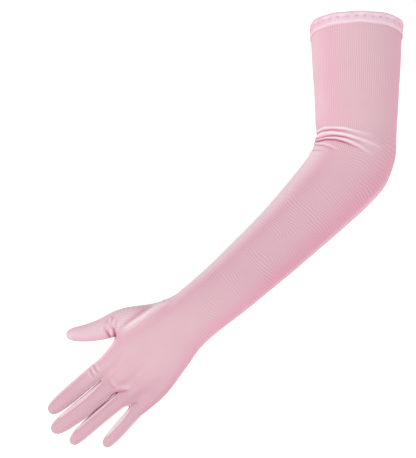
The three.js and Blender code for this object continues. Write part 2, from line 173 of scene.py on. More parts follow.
# Thumb rings: outer point, web-side point (each along and across), middle height, half depth
THUMB_RINGS = [
    ((33.4, -35.5), (82.4, -40.5), -3.6, 12.4),
    ((44.4, -43.8), (83.3, -41.0), -3.5, 11.8),
    ((57.0, -54.2), (84.6, -41.9), -3.3, 10.6),
    ((69.9, -59.6), (87.6, -43.8), -2.9, 9.4),
    ((81.5, -62.7), (92.4, -46.6), -2.4, 8.7),
    ((88.8, -65.9), (98.1, -51.2), -1.9, 8.4),
    ((95.1, -69.1), (103.0, -55.4), -1.3, 8.1),
    ((99.9, -72.2), (107.9, -60.3), -0.8, 7.6),
    ((104.6, -75.0), (111.8, -64.6), -0.4, 6.8),
    ((109.2, -76.2), (113.9, -68.9), 0.0, 5.2),
]
THUMB_TIP = (113.2, -73.7)


# Folds on the inner side of the elbow: height (a crease is below 0), width, and the line that
# they follow as places across the sleeve and up it
ELBOW_FOLDS = [
    (1.15, 1.5, [(-46, -116), (-41.5, -108.5), (-38.8, -105.2), (-32.8, -102.9), (-24.8, -103.0),
                 (-14.9, -104.1), (-8.3, -106.0), (0, -107.8), (12, -111)]),
    (-0.75, 0.95, [(-46, -118), (-41.5, -111.1), (-38.8, -107.3), (-34.8, -105.4), (-26.1, -104.9),
                   (-14.9, -106.3), (-4, -109)]),
    (1.6, 1.7, [(-46, -118), (-40.1, -110.8), (-34.8, -107.8), (-26.9, -107.6), (-18.9, -109.2),
                (-9.6, -111.6), (-1.6, -113.9), (5, -116.2), (11, -118.4), (20, -122.5)]),
    (-0.9, 0.85, [(-42, -114.4), (-38.8, -112.8), (-32.2, -111.0), (-24.2, -110.9), (-17.6, -111.8),
                  (-10.9, -113.6), (-2, -116.6), (4, -119)]),
    (1.5, 1.5, [(-46, -120), (-39.4, -113.9), (-31.5, -112.4), (-22.9, -112.8), (-14.9, -114.9),
                (-8.3, -117.6), (-1.6, -120.9), (5, -124.9), (12, -130)]),
    (-1.25, 0.85, [(-46, -121), (-41.5, -115.7), (-32.8, -113.9), (-24.2, -114.5), (-16.2, -117.0),
                   (-9.6, -119.7), (-3.6, -122.5), (4, -127)]),
    (0.7, 1.3, [(-48, -119), (-42.1, -116.9), (-34.8, -117.5), (-28.2, -119.8), (-21, -124)]),
    (-0.6, 0.9, [(-48, -121), (-42.1, -118.3), (-34.8, -119.6), (-28.8, -122.2), (-24, -125)]),
    (0.55, 1.3, [(-50, -127), (-44.7, -125.6), (-38.1, -125.4), (-32, -127)]),
    (-0.45, 0.9, [(-50, -125), (-45.5, -123.3), (-40.1, -123.6), (-34, -125)]),
]
ELBOW_FOLD_MIDDLE = -28
ELBOW_FOLD_SHARE_BEHIND = 0.5
ELBOW_FOLD_STRENGTH = 1.05

# Folds of the hand, in the same way, as places along the hand from the wrist and across it
HAND_FOLDS = [
    (1.2, 2.2, [(16, -25.5), (24, -28.2), (33, -31.8), (40, -33.2), (47, -34.4), (53.5, -35.6), (60, -37.0),
                (67, -38.4), (74, -39.4), (81, -39.9)]),
    (-0.35, 1.2, [(38, -37.4), (53.4, -39.8), (67, -42.3), (77, -43.0)]),
    (-1.3, 1.0, [(84.5, -38.5), (81, -41.6), (78.7, -45.4), (76.5, -49.5)]),
    (-1.1, 1.0, [(88.5, -41), (85.4, -44.2), (84.6, -47.6), (82.5, -51.5)]),
    (0.7, 1.1, [(84.5, -42.6), (82, -45.5), (79.5, -50)]),
    (0.55, 0.9, [(65.2, -53.8), (73.3, -50.6), (79.5, -45.5)]),
    (-0.5, 0.8, [(64.4, -51.6), (72, -48.8), (78.2, -44.2)]),
    (0.55, 0.9, [(63.7, -49.6), (70.6, -46.8), (76.9, -42.4)]),
    (-0.5, 0.8, [(66.6, -56.4), (75.6, -52.6), (82, -47.5)]),
    (0.5, 0.9, [(68.8, -57.4), (78, -53.4), (84.8, -48.5)]),
    (-0.45, 0.8, [(71.0, -58.6), (80.4, -54.4), (87.6, -49.5)]),
    (0.45, 0.9, [(58, -47.5), (66, -44.6), (74, -40.6)]),
    (-0.7, 0.8, [(108, 4.2), (112, 0.6), (117, -2.4), (122, -4.0), (128, -4.3)]),
    (0.3, 1.8, [(103, 3), (108, -0.6), (113, -5), (119, -7)]),
    (-0.4, 1.0, [(110, 17.5), (114, 15.6), (118, 15.2)]),
    (0.45, 1.0, [(111, -39), (113.5, -33), (114.5, -27)]),
    (-0.45, 0.8, [(113.5, -39), (116, -33), (117, -27)]),
    (0.45, 1.0, [(116, -39), (118.5, -33), (119.5, -27)]),
    (-0.4, 0.8, [(118.5, -39), (121, -33), (122, -27)]),
    (0.3, 1.0, [(121, -39), (123.5, -33), (124.5, -28)]),
    (0.25, 1.2, [(112, -17), (114, -11), (113, -5)]),
    (-0.2, 1.0, [(115, -17), (117, -11), (116, -5)]),
]

# Deep places between the fingers, where shade is painted, as places along and across the hand
FINGER_GAPS = [
    [(114, -20.2), (119, -20.6), (133, -22.6), (150, -24.8), (168, -27.2)],
    [(116, -2.0), (122, -3.9), (135, -4.4), (150, -5.2), (164, -8.4)],
    [(113, 15.6), (118, 15.0), (124, 14.8)],
]

# Soft forms on the back of the hand: height, size, place along and across
KNUCKLES = [(0.9, 8, 101, -27), (1.1, 8, 104, -10), (1.0, 7.5, 101, 6), (0.8, 7, 95, 20),
            (-0.7, 6, 112, -19), (-0.7, 6, 110, -2), (-0.6, 6, 107, 14), (-0.5, 12, 70, -12)]


def lerp(a, b, t):
    return a + (b - a) * t


def smooth(a, b, c, d, t):
    """Smooth value between b and c, with a and d as their outer neighbours."""
    return 0.5 * (
        2 * b + (c - a) * t + (2 * a - 5 * b + 4 * c - d) * t * t + (3 * b - a - 3 * c + d) * t**3
    )


def smoothstep(t):
    t = min(max(t, 0.0), 1.0)
    return t * t * (3 - 2 * t)


def arm_axes(turn_share):
    """Directions along the arm, to its outer side and to its back, for a share of the turn."""
    turn = ELBOW_TURN * turn_share
    forward = lerp(UPPER_ARM_LEAN, FOREARM_REACH, turn_share)
    along = Vector(
        (-math.sin(turn) * math.cos(forward), -math.sin(forward), -math.cos(turn) * math.cos(forward))
    )
    across = Vector((math.cos(turn), 0, -math.sin(turn)))
    return along, across, along.cross(across)


OPENING = Vector((0, 0, 0))
ELBOW = OPENING + arm_axes(0)[0] * UPPER_ARM_LENGTH
WRIST = ELBOW + arm_axes(1)[0] * FOREARM_LENGTH
HAND_ALONG, HAND_ACROSS, HAND_BACK = arm_axes(1)


def hand_point(along, across, lift):
    return WRIST + HAND_ALONG * along + HAND_ACROSS * across + HAND_BACK * lift


def arm_sections():
    """Rings of the sleeve and palm as (centre, turn, half width, half depth, roundness)."""
    legs = (
        (OPENING, arm_axes(0)[0], UPPER_ARM_LENGTH, UPPER_ARM_ROWS, OPENING_SIZE, ELBOW_SIZE),
        (ELBOW, HAND_ALONG, FOREARM_LENGTH, FOREARM_ROWS, ELBOW_SIZE, WRIST_SIZE),
        (WRIST, HAND_ALONG, PALM_LENGTH, PALM_ROWS, WRIST_SIZE, WEB_SIZE),
    )
    keys = []
    for origin, direction, length, rows, first, last in legs:
        for at, turn, shift, width, depth, square, rings in rows:
            across = arm_axes(turn)[1]
            centre = origin + direction * length * at + across * ELBOW_SIZE[0] * shift
            keys.append((
                np.array((*centre, turn, lerp(first[0], last[0], width) / 2,
                          lerp(first[1], last[1], depth) / 2,
                          lerp(SLEEVE_ROUNDNESS, PALM_ROUNDNESS, square))),
                rings,
            ))
    sections = []
    for k, (key, rings) in enumerate(keys):
        a, c, d = (keys[min(max(i, 0), len(keys) - 1)][0] for i in (k - 1, k + 1, k + 2))
        for step in range(rings if k < len(keys) - 1 else 1):
            sections.append(smooth(a, key, c, d, step / rings))
    return sections


def ring_point(centre, across, back, half_width, half_depth, roundness, angle):
    cos, sin = math.cos(angle), math.sin(angle)
    stretch = (abs(cos) ** roundness + abs(sin) ** roundness) ** (-1 / roundness)
    return centre + across * cos * stretch * half_width + back * sin * stretch * half_depth


def finger_ring(finger, at, girth, pinch, roll_share):
    """Points round a finger, its side columns pinched to the middle of each side."""
    spread = math.radians(finger["spread"])
    along = HAND_ALONG * math.cos(spread) + HAND_ACROSS * math.sin(spread)
    across = HAND_ACROSS * math.cos(spread) - HAND_ALONG * math.sin(spread)
    fall = finger["length"] * FINGER_CURL * at * at
    bend = math.atan(2 * FINGER_CURL * at)
    back = HAND_BACK * math.cos(bend) + along * math.sin(bend)
    centre = (
        hand_point(PALM_LENGTH, finger["across"], finger["lift"])
        + along * finger["length"] * at
        + across * finger["bow"] * math.sin(math.pi * at)
        - HAND_BACK * fall
    )
    corner = STRIP_HALF_ANGLE * pinch
    fullness = 1.026 * girth / 2
    points = []
    for k in range(FINGER_COLUMNS):
        if k in (14, 15, 0, 1, 2):
            degrees = ((k + 8) % 16 - 8) / 2 * corner
        elif 6 <= k <= 10:
            degrees = 180 + (k - 8) / 2 * corner
        elif k < 6:
            degrees = corner + (k - 2) / 4 * (180 - 2 * corner)
        else:
            degrees = 180 + corner + (k - 10) / 4 * (180 - 2 * corner)
        angle = math.radians(degrees - finger["roll"] * roll_share)
        points.append(ring_point(
            centre, across, back, finger["width"] * fullness, finger["depth"] * fullness,
            FINGER_ROUNDNESS, angle,
        ))
    return points, along


def web_points(first, second, start):
    """Points down the web between two fingers, from the back to the palm side."""
    edge_first = first["across"] + first["width"] / 2
    edge_second = second["across"] - second["width"] / 2
    half_depth = (first["depth"] + second["depth"]) / 4
    lift = (first["lift"] + second["lift"]) / 2
    return [
        hand_point(PALM_LENGTH + start + reach, (edge_first + edge_second) / 2, lift + half_depth * height)
        for height, reach in zip(WEB_HEIGHTS, WEB_REACH)
    ]


class Pattern:
    """The glove's mesh in the making: points, and faces with their cloth and their place on it."""

    def __init__(self):
        self.mesh = bmesh.new()
        self.weave = self.mesh.loops.layers.uv.new("weave")

    def point(self, place):
        return self.mesh.verts.new(place * MM)

    def face(self, corners, places, cloth):
        face = self.mesh.faces.new(corners)
        face.material_index = cloth
        face.smooth = True
        for loop, (u, v) in zip(face.loops, places):
            loop[self.weave].uv = (u * MM, v * MM)


CLOTHS = ["arm_and_hand", "thumb", "fourchette_index_middle", "fourchette_middle_ring",
          "fourchette_ring_little"]
TRANK, THUMB, FIRST_STRIP = 0, 1, 2
COLUMN_WIDTH = 6.4
FINGER_COLUMN_WIDTH = 3.1
THUMB_FIRST_COLUMN, THUMB_LAST_COLUMN = 18, 22


def cap(pattern, ring, tip, along, columns, cloth, v, unit):
    """Close a fingertip with a small grid of faces domed towards its tip."""
    n = columns // 4
    order = []
    x, y = n, n
    for dx, dy in ((-1, 0), (0, -1), (1, 0), (0, 1)):
        for _ in range(n):
            order.append((x, y))
            x, y = x + dx, y + dy
    grid = {place: ring[(k + columns // 8) % columns] for k, place in enumerate(order)}
    centre = sum((vert.co for vert in ring), Vector()) / columns
    rise = (tip * MM - centre).dot(along)
    for i in range(1, n):
        for j in range(1, n):
            x, y = 2 * i / n - 1, 2 * j / n - 1
            far = max(abs(x), abs(y))
            edge = centre
            if far > 0:
                edge_x, edge_y = (x / far + 1) * n / 2, (y / far + 1) * n / 2
                low = (math.floor(edge_x + 1e-6), math.floor(edge_y + 1e-6))
                high = (math.ceil(edge_x - 1e-6), math.ceil(edge_y - 1e-6))
                part = max(edge_x - low[0], edge_y - low[1])
                edge = grid[low].co.lerp(grid[high].co, part)
            place = centre.lerp(edge, far * 0.98) + along * rise * (1 - far**2.2)
            grid[(i, j)] = pattern.mesh.verts.new(place)
    for i in range(n):
        for j in range(n):
            corners = [(i, j), (i + 1, j), (i + 1, j + 1), (i, j + 1)]
            pattern.face(
                [grid[c] for c in corners], [(c[0] * unit, v + c[1] * unit) for c in corners], cloth
            )


def arm_angle(column, open_share):
    """Angle of a column, its thumb-side columns spread where the thumb is set in."""
    edge = lerp(162, 150, open_share)
    if column <= 18:
        return math.radians(column / 18 * edge)
    if column >= 22:
        return math.radians(360 - edge + (column - 22) / 18 * edge)
    return math.radians(180 + (column - 20) / 2 * (180 - edge))


def outer_column(k):
    """Column of the palm that runs on as column k of the little finger's outer side."""
    return k + 24 if k > 8 else k


def build_glove():
    pattern = Pattern()
    names = list(FINGERS)
    fingers = [FINGERS[name] for name in names]
    webs = [web_points(fingers[i], fingers[i + 1], WEB_START[i]) for i in range(3)]
    roots = [finger_ring(finger, 0.0, 1.0, 1.0, 0.0)[0] for finger in fingers]

    # The last ring of the palm, from the finger roots and the webs between them
    root_places = [None] * ARM_COLUMNS
    for f in range(4):
        for k in range(3, 6):
            root_places[4 * (3 - f) + k] = roots[f][k]
        for k in range(11, 14):
            root_places[12 + 4 * f + k] = roots[f][k]
    for f in range(3):
        root_places[4 * (3 - f) + 2] = webs[f][0]
        root_places[26 + 4 * f] = webs[f][4]
    for k in range(6, 11):
        root_places[12 + k] = roots[0][k]
    for k in (14, 15, 0, 1, 2):
        root_places[outer_column(k)] = roots[3][k]

    # Sleeve and palm
    sections = arm_sections()
    thumb_rows = {round(row[0]): r for r, row in enumerate(THUMB_SEAM_BACK)}
    rings = []
    distances = []
    travelled = 0.0
    previous = None
    root_middle = sum(root_places, Vector()) / ARM_COLUMNS
    for section in sections:
        centre = Vector(section[:3])
        travelled += (centre - previous).length if previous else 11.0
        previous = centre
        _, across, back = arm_axes(section[3])
        station = (centre - WRIST).dot(HAND_ALONG)
        near_root = smoothstep((station - 62) / (PALM_LENGTH - 62))
        open_share = smoothstep((station - 6) / 24) * (1 - near_root)
        ring = []
        for column in range(ARM_COLUMNS):
            place = ring_point(
                centre, across, back, section[4] * 1.004, section[5] * 1.004, section[6],
                arm_angle(column, open_share),
            )
            if near_root > 0:
                root = root_places[column] - root_middle
                widest = max(abs((p - root_middle).dot(HAND_ACROSS)) for p in root_places)
                deepest = max(abs((p - root_middle).dot(HAND_BACK)) for p in root_places)
                target = (
                    centre
                    + HAND_ACROSS * root.dot(HAND_ACROSS) / widest * section[4]
                    + HAND_BACK * root.dot(HAND_BACK) / deepest * section[5]
                )
                place = place.lerp(target, near_root)
            ring.append(place)
        row = thumb_rows.get(round(station))
        if row is not None:
            ring[18] = hand_point(*THUMB_SEAM_BACK[row])
            ring[22] = hand_point(*THUMB_SEAM_PALM[row])
            fullness = math.sin(math.pi * (row + 0.5) / 9)
            for column in range(23, 29):
                ring[column] = ring[column] - HAND_BACK * (29 - column) * 0.9 * fullness
            for column, place in zip((19, 20, 21), THUMB_SEAM_WRIST if row == 0 else THUMB_SEAM_WEB):
                ring[column] = hand_point(*place) if row in (0, 8) else None
        rings.append([pattern.point(p) if p is not None else None for p in ring])
        distances.append(travelled)
    rings.append([pattern.point(p) for p in root_places])
    distances.append(travelled + 6)

    for r in range(len(rings) - 1):
        for s in range(ARM_COLUMNS):
            t = (s + 1) % ARM_COLUMNS
            corners = [rings[r][s], rings[r][t], rings[r + 1][t], rings[r + 1][s]]
            if None in corners:
                continue
            row_here = thumb_rows.get(round((Vector(sections[r][:3]) - WRIST).dot(HAND_ALONG)))
            if row_here is not None and row_here < 8 and THUMB_FIRST_COLUMN <= s < THUMB_LAST_COLUMN:
                continue
            u, w = s * COLUMN_WIDTH, (s + 1) * COLUMN_WIDTH
            pattern.face(
                corners,
                [(u, distances[r]), (w, distances[r]), (w, distances[r + 1]), (u, distances[r + 1])],
                TRANK,
            )

    # Fingers
    palm_end = distances[-1]
    for f, finger in enumerate(fingers):
        first = [None] * FINGER_COLUMNS
        for k in range(2, 7):
            first[k] = rings[-1][4 * (3 - f) + k]
        for k in range(10, 15):
            first[k] = rings[-1][12 + 4 * f + k]
        if f == 0:
            for k in range(7, 10):
                first[k] = rings[-1][12 + k]
        if f == 3:
            for k in (15, 0, 1):
                first[k] = rings[-1][outer_column(k)]
        if f < 3:
            middle = [pattern.point(place) for place in webs[f][1:4]]
            first[1], first[0], first[15] = middle
            finger["web"] = middle
        if f > 0:
            first[7], first[8], first[9] = fingers[f - 1]["web"]
        loops = [first]
        stations = [palm_end]
        for at, girth, pinch in FINGER_ROWS:
            points, along = finger_ring(finger, at, girth, pinch, smoothstep(at / 0.3))
            loops.append([pattern.point(p) for p in points])
            stations.append(palm_end + at * finger["length"])
        for r in range(len(loops) - 1):
            for k in range(FINGER_COLUMNS):
                t = (k + 1) % FINGER_COLUMNS
                cloth = TRANK
                if r < STRIP_END_ROW and k in (14, 15, 0, 1) and f < 3:
                    cloth = FIRST_STRIP + f
                if r < STRIP_END_ROW and 6 <= k < 10 and f > 0:
                    cloth = FIRST_STRIP + f - 1
                if 2 <= k < 6:
                    u = (4 * (3 - f) + k) * COLUMN_WIDTH
                    w = u + COLUMN_WIDTH
                elif 10 <= k < 14 or (f == 0 and k < 10):
                    u = (12 + 4 * f + k) * COLUMN_WIDTH
                    w = u + COLUMN_WIDTH
                else:
                    u = k * FINGER_COLUMN_WIDTH
                    w = u + FINGER_COLUMN_WIDTH
                pattern.face(
                    [loops[r][k], loops[r][t], loops[r + 1][t], loops[r + 1][k]],
                    [(u, stations[r]), (w, stations[r]), (w, stations[r + 1]), (u, stations[r + 1])],
                    cloth,
                )
        tip_ring, tip_along = finger_ring(finger, 1.0, 0.2, 1.0, 1.0)
        tip = sum(tip_ring, Vector()) / FINGER_COLUMNS
        cap(pattern, loops[-1], tip, tip_along, FINGER_COLUMNS, TRANK, stations[-1], 2.0)

    # Thumb, from the ring of points round its opening in the palm
    row_rings = {}
    for r, section in enumerate(sections):
        row = thumb_rows.get(round((Vector(section[:3]) - WRIST).dot(HAND_ALONG)))
        if row is not None:
            row_rings[row] = rings[r]
    base = [row_rings[8][20], row_rings[8][19]]
    base += [row_rings[row][18] for row in range(8, -1, -1)]
    base += [row_rings[0][19], row_rings[0][20], row_rings[0][21]]
    base += [row_rings[row][22] for row in range(0, 9)]
    base += [row_rings[8][21]]
    loops = [base]
    stations = [0.0]
    for outer, inner, height, half_depth in THUMB_RINGS:
        far = hand_point(*outer, height)
        near = hand_point(*inner, height)
        centre = (far + near) / 2
        across = (near - far).normalized()
        points = [
            ring_point(centre, across, HAND_BACK, (near - far).length / 2 * 1.012, half_depth * 1.012,
                       FINGER_ROUNDNESS, k / THUMB_COLUMNS * math.tau)
            for k in range(THUMB_COLUMNS)
        ]
        stations.append(stations[-1] + 9)
        loops.append([pattern.point(p) for p in points])
    for r in range(len(loops) - 1):
        for k in range(THUMB_COLUMNS):
            t = (k + 1) % THUMB_COLUMNS
            u, w = k * 2.6, (k + 1) * 2.6
            pattern.face(
                [loops[r][k], loops[r][t], loops[r + 1][t], loops[r + 1][k]],
                [(u, stations[r]), (w, stations[r]), (w, stations[r + 1]), (u, stations[r + 1])],
                THUMB,
            )
    tip = hand_point(*THUMB_TIP, 0)
    along = across.cross(HAND_BACK)
    cap(pattern, loops[-1], tip, along, THUMB_COLUMNS, THUMB, stations[-1], 2.0)

    mesh = bpy.data.meshes.new("glove")
    pattern.mesh.normal_update()
    pattern.mesh.to_mesh(mesh)
    pattern.mesh.free()
    return mesh


def finished_mesh(obj):
    """Plain mesh of an object with its modifiers applied, and the modifiers removed."""
    depsgraph = bpy.context.evaluated_depsgraph_get()
    mesh = bpy.data.meshes.new_from_object(obj.evaluated_get(depsgraph))
    obj.modifiers.clear()
    obj.data = mesh
    return mesh


def new_object(name, mesh):
    obj = bpy.data.objects.new(name, mesh)
    bpy.context.scene.collection.objects.link(obj)
    return obj


glove = new_object("glove", build_glove())
smoothing = glove.modifiers.new("smoothing", "SUBSURF")
smoothing.levels = SMOOTHING_LEVELS
smoothing.render_levels = SMOOTHING_LEVELS
finished_mesh(glove)


def vertex_places(mesh):
    """Places in millimetres and normals of all points of a mesh."""
    places = np.empty(len(mesh.vertices) * 3)
    normals = np.empty(len(mesh.vertices) * 3)
    mesh.vertices.foreach_get("co", places)
    mesh.vertices.foreach_get("normal", normals)
    return places.reshape(-1, 3) / MM, normals.reshape(-1, 3)


def line_distance(places, line):
    """Distance of many places to a line of points, and how far along it each lies, 0 to 1."""
    line = np.array(line, dtype=float)
    steps = np.linalg.norm(np.diff(line, axis=0), axis=1)
    starts = np.concatenate(([0.0], np.cumsum(steps)))
    best = np.full(len(places), 1e9)
    share = np.zeros(len(places))
    for a, b, start, step in zip(line, line[1:], starts, steps):
        part = np.clip(((places - a) @ (b - a)) / step**2, 0, 1)
        away = np.linalg.norm(places - a - part[:, None] * (b - a), axis=1)
        nearer = away < best
        best[nearer] = away[nearer]
        share[nearer] = (start + part * step)[nearer] / starts[-1]
    return best, share


def fold_relief(places, folds, fade_in=0.1, fade_out=0.45):
    """Height of folds at many places, and how deep in a crease or high on a fold each place lies, for painted
    shade and painted highlights.
    """
    height = np.zeros(len(places))
    crease_shade = np.zeros(len(places))
    highlight = np.zeros(len(places))
    for rise, width, line in folds:
        away, share = line_distance(places, line)
        strength = np.exp(-((away / width) ** 2))
        strength *= np.clip(share / fade_in, 0, 1) * np.clip((1 - share) / fade_out, 0, 1)
        height += rise * strength
        if rise < 0:
            crease_shade = np.maximum(crease_shade, strength * min(-rise, 1))
        else:
            highlight = np.maximum(highlight, strength * min(rise, 1))
    return height, crease_shade, highlight


def soft_edge(value, low, high):
    part = np.clip((value - low) / (high - low), 0, 1)
    return part * part * (3 - 2 * part)


def fold_cloth(obj):
    """Raise the folds, creases and soft forms of the worn cloth, and mark where to paint shade in its creases
    and highlights on its folds and sides.
    """
    mesh = obj.data
    places, normals = vertex_places(mesh)

    arm = places[:, [0, 2]]
    height, crease_shade, highlight = fold_relief(arm, ELBOW_FOLDS, fade_in=0.04)
    near_elbow = soft_edge(places[:, 2], -142, -132) * soft_edge(-places[:, 2], 92, 98)
    front = soft_edge(-places[:, 1], -ELBOW_FOLD_MIDDLE - 22, -ELBOW_FOLD_MIDDLE + 6)
    front = ELBOW_FOLD_SHARE_BEHIND + (1 - ELBOW_FOLD_SHARE_BEHIND) * front
    height *= near_elbow * front * ELBOW_FOLD_STRENGTH
    crease_shade *= near_elbow * front
    highlight *= near_elbow * front

    from_wrist = places - np.array(WRIST)
    hand = np.stack([from_wrist @ np.array(HAND_ALONG), from_wrist @ np.array(HAND_ACROSS)], axis=1)
    on_back = soft_edge(normals @ np.array(HAND_BACK), -0.1, 0.35)
    hand_height, hand_crease, hand_ridge = fold_relief(hand, HAND_FOLDS, fade_in=0.25, fade_out=0.25)
    for rise, size, along, across in KNUCKLES:
        away = np.hypot(hand[:, 0] - along, hand[:, 1] - across)
        hand_height += rise * np.exp(-((away / size) ** 2))
    height += hand_height * on_back
    crease_shade = np.maximum(crease_shade, hand_crease * on_back)
    highlight = np.maximum(highlight, hand_ridge * on_back)

    # Painted shade on the sides of the fingers in the deep gaps between them
    sideways = 1 - soft_edge(np.abs(normals @ np.array(HAND_BACK)), 0.35, 0.75)
    sideways *= soft_edge(from_wrist @ np.array(HAND_BACK), -5, -1)
    for line in FINGER_GAPS:
        away, share = line_distance(hand, line)
        deep = np.exp(-((away / 1.1) ** 2)) * np.clip((1 - share) / 0.2, 0, 1)
        crease_shade = np.maximum(crease_shade, deep * sideways)

    places += normals * height[:, None]
    mesh.vertices.foreach_set("co", (places * MM).ravel())
    # Painted light and shade: a deeper pink towards both sides, most on the outer side, which turns away from
    # the key light, and painted highlights where the cloth turns away on the inner side, on the outer rim,
    # along the fingers and on the thumb
    to_outer_side = normals @ np.array(HAND_ACROSS)
    on_fingers = soft_edge(hand[:, 0], 112, 124)
    on_thumb = soft_edge(-hand[:, 1], 40, 46) * soft_edge(hand[:, 0], 30, 50)
    side_highlight = 0.65 * soft_edge(-to_outer_side, 0.5, 1.0) + 0.3 * soft_edge(to_outer_side, 0.82, 0.98)
    side_highlight = side_highlight * (1 - on_fingers) + 0.5 * soft_edge(np.abs(to_outer_side), 0.6, 0.95) * on_fingers
    highlight = np.maximum(highlight, np.maximum(side_highlight, 0.3 * on_thumb))
    # Painted shade: low stretch turns the sides, the outer side most, to the deeper pink
    stretch = 1 - 0.85 * soft_edge(to_outer_side, 0.1, 0.85) * (1 - 0.6 * on_fingers)
    stretch -= 0.4 * soft_edge(-to_outer_side, 0.1, 0.7)
    for name, values in (("crease_shade", crease_shade), ("highlight", highlight * (1 - crease_shade)), ("stretch", stretch)):
        mesh.attributes.new(name, "FLOAT", "POINT").data.foreach_set("value", values)
    mesh.update()


fold_cloth(glove)


def split_cloths(whole):
    """One object for each piece of cloth, parted where the seams run."""
    pieces = {}
    for index, name in enumerate(CLOTHS):
        mesh = bmesh.new()
        mesh.from_mesh(whole.data)
        others = [face for face in mesh.faces if face.material_index != index]
        bmesh.ops.delete(mesh, geom=others, context="FACES")
        for face in mesh.faces:
            face.material_index = 0
        data = bpy.data.meshes.new(name)
        mesh.to_mesh(data)
        mesh.free()
        piece = new_object(name + "_cloth", data)
        wall = piece.modifiers.new("wall", "SOLIDIFY")
        wall.thickness = NET_WALL * MM
        wall.offset = -1
        finished_mesh(piece)
        pieces[name] = piece
    return pieces


cloths = split_cloths(glove)
seam_mesh = glove.data
bpy.data.objects.remove(glove)


# Hem: the doubled band round the top of the sleeve. Its section, outer face first, as shares
# of its height down from the top edge and millimetres proud of the sleeve.
HEM_PROFILE = [
    (0.0, -0.4), (0.0, 0.35), (0.03, 0.85), (0.08, 1.1), (0.14, 1.0), (0.21, 0.78), (0.32, 0.7),
    (0.42, 0.72), (0.52, 0.75), (0.64, 0.8), (0.76, 0.82), (0.86, 0.85), (0.93, 0.85), (0.98, 0.68),
    (1.0, 0.4), (0.99, 0.1), (0.85, 0.1), (0.72, -0.6), (0.55, -1.2), (0.3, -1.3), (0.06, -1.2),
]
HEM_COLUMNS = 192
PUCKERS = 34
PUCKER_PLACE = 0.4
HEM_GIRTH = 272
HEM_SHIFT = 0.6


def sleeve_point(angle, down, proud):
    """Point round the top of the sleeve, down from the opening and proud of the cloth."""
    share = down / UPPER_ARM_LENGTH * 1.2
    along, across, back = arm_axes(0)
    return ring_point(
        OPENING + along * down + across * HEM_SHIFT * max(0, 1 - down / HEM_SIDE_HEIGHT), across, back,
        lerp(OPENING_SIZE[0], ELBOW_SIZE[0], share) / 2 + proud,
        lerp(OPENING_SIZE[1], ELBOW_SIZE[1], share) / 2 + proud,
        SLEEVE_ROUNDNESS, angle,
    )


def hem_height(angle):
    return lerp(HEM_FRONT_HEIGHT, HEM_SIDE_HEIGHT, np.cos(angle) ** 2)


def hem_sag(angle):
    """How far the worn top edge dips below the opening, a little unevenly."""
    return 1.6 + 0.4 * np.sin(3 * angle + 0.6) * np.cos(angle) + 0.2 * np.sin(11 * angle)


def build_hem():
    mesh = bmesh.new()
    weave = mesh.loops.layers.uv.new("weave")
    count = len(HEM_PROFILE)
    rings = []
    for s in range(HEM_COLUMNS):
        angle = s / HEM_COLUMNS * math.tau
        rings.append([
            mesh.verts.new(sleeve_point(angle, hem_sag(angle) + share * hem_height(angle), proud) * MM)
            for share, proud in HEM_PROFILE
        ])
    for s in range(HEM_COLUMNS):
        t = (s + 1) % HEM_COLUMNS
        for k in range(count):
            m = (k + 1) % count
            face = mesh.faces.new((rings[s][k], rings[s][m], rings[t][m], rings[t][k]))
            face.smooth = True
            shares = (HEM_PROFILE[k][0], HEM_PROFILE[m][0], HEM_PROFILE[m][0], HEM_PROFILE[k][0])
            turns = (s, s, s + 1, s + 1)
            for loop, turn, share in zip(face.loops, turns, shares):
                loop[weave].uv = (turn / HEM_COLUMNS * HEM_GIRTH * MM, share * HEM_FRONT_HEIGHT * MM)
    bmesh.ops.recalc_face_normals(mesh, faces=mesh.faces)
    data = bpy.data.meshes.new("hem_band")
    mesh.to_mesh(data)
    mesh.free()
    band = new_object("hem_band", data)
    smoothing = band.modifiers.new("smoothing", "SUBSURF")
    smoothing.levels = smoothing.render_levels = 1
    finished_mesh(band)
    return band


